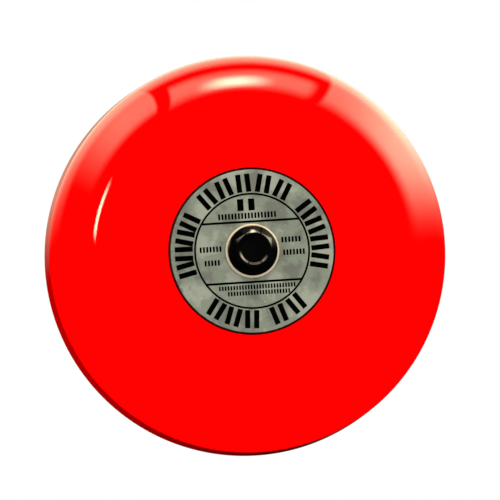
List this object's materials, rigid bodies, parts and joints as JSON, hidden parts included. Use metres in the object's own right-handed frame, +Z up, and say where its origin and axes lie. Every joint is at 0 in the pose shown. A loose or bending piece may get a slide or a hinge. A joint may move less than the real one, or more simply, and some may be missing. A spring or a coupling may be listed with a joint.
{
  "type": "fire alarm bell",
  "caption": "Wall-mounted motor-driven alarm bell: a round red steel gong on a sealed drum base, with a centre bolt and an internal swinging hammer.",
  "frame": {"origin": "centre of the circle of wall screw holes, on the back face that meets the wall", "axes": "+Y square into the wall, so the gong faces -Y; +Z up; +X to the right as the bell is faced"},
  "size_m": [0.15, 0.0642, 0.15],
  "materials": {
    "red_enamel": "smooth glossy red enamel",
    "nameplate_foil": "satin printed aluminium foil",
    "white_nylon": "natural nylon",
    "zinc_steel": "bright zinc plate",
    "black_rubber": "matt moulded rubber",
    "black_steel": "polished black oxide",
    "red_casting": "powder-coated die casting",
    "grey_foam": "closed-cell gasket",
    "black_moulding": "finely textured moulding",
    "green_board": "solder-masked board",
    "terminal_green": "moulded terminal body",
    "varistor_blue": "dipped coating",
    "capacitor_sleeve": "shrink sleeve",
    "bronze": "sintered bronze",
    "ferrite": "ground ferrite",
    "brass_strip": "bright strip",
    "lamination_steel": "stacked laminations",
    "copper_wire": "enamelled copper",
    "wheel_steel": "satin zinc plate",
    "bright_steel": "polished ball",
    "lead_black": "wire insulation",
    "lead_red": "wire insulation"
  },
  "bodies": {
    "base": {"base_housing": "red_casting", "wall_gasket": "grey_foam", "cover_seal": "black_rubber", "post_seal": "black_rubber", "mechanism_cover": "black_moulding", "cable_grommet": "black_rubber", "cover_screws": "zinc_steel", "centre_post": "zinc_steel", "post_cushion": "black_rubber", "post_washer": "zinc_steel", "post_nut": "zinc_steel", "circuit_board": "green_board", "board_screws": "zinc_steel", "terminal_block": "terminal_green", "terminal_screws": "zinc_steel", "polarity_diode": "black_moulding", "surge_varistor": "varistor_blue", "smoothing_capacitor": "capacitor_sleeve", "motor_can": "zinc_steel", "motor_front_bush": "bronze", "motor_end_cap": "white_nylon", "motor_rear_bush": "bronze", "motor_magnets": "ferrite", "motor_tabs": "brass_strip", "motor_screws": "zinc_steel", "shaft_seal": "black_rubber", "lead_black": "lead_black", "lead_red": "lead_red"},
    "gong": {"gong": "red_enamel", "nameplate": "nameplate_foil", "gong_bush": "white_nylon"},
    "bolt_washers": {"front_cushion": "black_rubber", "bolt_washer": "zinc_steel"},
    "bolt": {"centre_bolt": "black_steel"},
    "rotor": {"motor_shaft": "zinc_steel", "armature_core": "lamination_steel", "armature_windings": "copper_wire", "commutator": "copper_wire", "hammer_wheel": "wheel_steel", "hammer_pin": "zinc_steel", "hammer_spacer": "white_nylon", "hammer_clip": "black_steel"},
    "hammer": {"hammer_arm": "wheel_steel", "hammer_head": "bright_steel"}
  },
  "joints": [
    {"name": "gong_lift", "type": "slide", "parent": "base", "child": "gong", "axis": [0, -1, 0], "range_m": [0, 0.06]},
    {"name": "bolt_rise", "type": "slide", "parent": "gong", "child": "bolt_washers", "axis": [0, -1, 0], "range_m": [0, 0.018]},
    {"name": "bolt_turn", "type": "hinge", "parent": "bolt_washers", "child": "bolt", "pos_m": [0, -0.0456, 0], "axis": [0, -1, 0], "range_deg": [0, 5184]},
    {"name": "rotor_spin", "type": "hinge", "parent": "base", "child": "rotor", "pos_m": [0, -0.0235, -0.04], "axis": [0, -1, 0], "continuous": true},
    {"name": "hammer_swing", "type": "hinge", "parent": "rotor", "child": "hammer", "pos_m": [0, -0.0345, -0.0525], "axis": [0, -1, 0], "range_deg": [-75, 75]}
  ],
  "couplings": [
    {"joint": "bolt_rise", "follows": "bolt_turn", "m_per_rad": 0.00019894}
  ]
}
